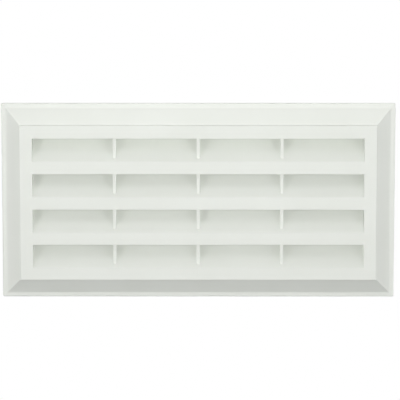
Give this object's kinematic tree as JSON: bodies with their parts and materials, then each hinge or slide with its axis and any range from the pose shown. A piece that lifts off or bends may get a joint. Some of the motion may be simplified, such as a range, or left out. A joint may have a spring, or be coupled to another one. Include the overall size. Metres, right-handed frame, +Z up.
{
  "type": "ventilation grille",
  "caption": "Rectangular moulded louvre grille with a bevelled flange, sloping blades, upright dividers and a rear spigot; it closes the end of a flat ventilation duct at a wall.",
  "frame": {"origin": "centre of the grille on the wall plane, where the rim of the flange seats", "axes": "+X across the grille to the right seen from the room, +Y into the wall along the duct, +Z up"},
  "size_m": [0.25, 0.043, 0.125],
  "materials": {
    "white_plastic": "satin white moulded plastic"
  },
  "bodies": {
    "root": {"louvre_grille": "white_plastic"}
  },
  "joints": []
}
